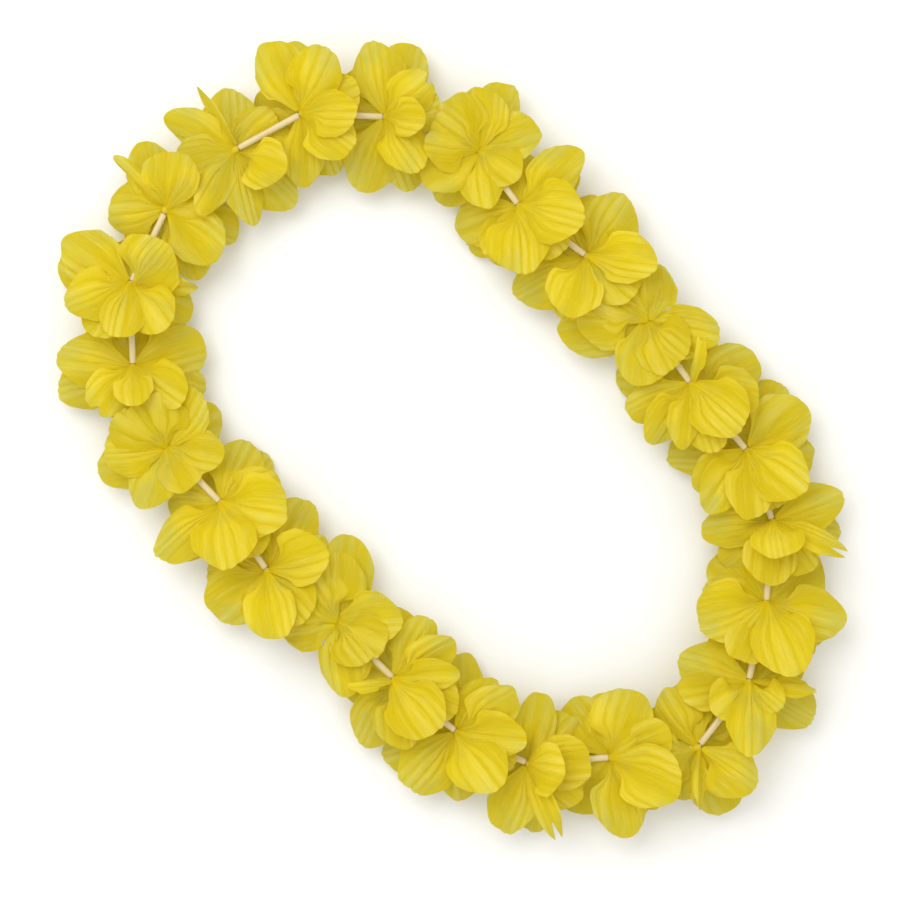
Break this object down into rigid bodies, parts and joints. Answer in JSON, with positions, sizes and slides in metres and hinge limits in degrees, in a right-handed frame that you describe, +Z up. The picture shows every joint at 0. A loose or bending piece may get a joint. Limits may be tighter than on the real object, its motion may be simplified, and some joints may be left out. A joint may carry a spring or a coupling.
{
  "type": "flower lei",
  "caption": "Party garland of yellow pleated cloth blossoms kept apart by short cream straws on one string, joined in a closed oval loop that lies flat.",
  "frame": {"origin": "On the surface that the lei lies on, at the middle of the box round the whole lei.", "axes": "+Z is up out of the surface, +Y runs along the oval's long way, +X across it."},
  "size_m": [0.2946, 0.452, 0.0392],
  "materials": {
    "petal_fabric": "thin translucent dyed cloth with pressed pleats",
    "spacer_plastic": "cream-white drinking-straw plastic, semi-gloss",
    "string_thread": "white cotton thread, matt"
  },
  "bodies": {
    "root": {"blossom_01": "petal_fabric", "blossom_02": "petal_fabric", "blossom_03": "petal_fabric", "blossom_04": "petal_fabric", "blossom_05": "petal_fabric", "blossom_06": "petal_fabric", "blossom_07": "petal_fabric", "blossom_08": "petal_fabric", "blossom_09": "petal_fabric", "blossom_10": "petal_fabric", "blossom_11": "petal_fabric", "blossom_12": "petal_fabric", "blossom_13": "petal_fabric", "blossom_14": "petal_fabric", "blossom_15": "petal_fabric", "blossom_16": "petal_fabric", "blossom_17": "petal_fabric", "blossom_18": "petal_fabric", "blossom_19": "petal_fabric", "blossom_20": "petal_fabric", "blossom_21": "petal_fabric", "blossom_22": "petal_fabric", "blossom_23": "petal_fabric", "blossom_24": "petal_fabric", "spacer_tube_01": "spacer_plastic", "spacer_tube_02": "spacer_plastic", "spacer_tube_03": "spacer_plastic", "spacer_tube_04": "spacer_plastic", "spacer_tube_05": "spacer_plastic", "spacer_tube_06": "spacer_plastic", "spacer_tube_07": "spacer_plastic", "spacer_tube_08": "spacer_plastic", "spacer_tube_09": "spacer_plastic", "spacer_tube_10": "spacer_plastic", "spacer_tube_11": "spacer_plastic", "spacer_tube_12": "spacer_plastic", "spacer_tube_13": "spacer_plastic", "spacer_tube_14": "spacer_plastic", "spacer_tube_15": "spacer_plastic", "spacer_tube_16": "spacer_plastic", "spacer_tube_17": "spacer_plastic", "spacer_tube_18": "spacer_plastic", "spacer_tube_19": "spacer_plastic", "spacer_tube_20": "spacer_plastic", "spacer_tube_21": "spacer_plastic", "spacer_tube_22": "spacer_plastic", "spacer_tube_23": "spacer_plastic", "spacer_tube_24": "spacer_plastic", "string_loop": "string_thread"}
  },
  "joints": []
}
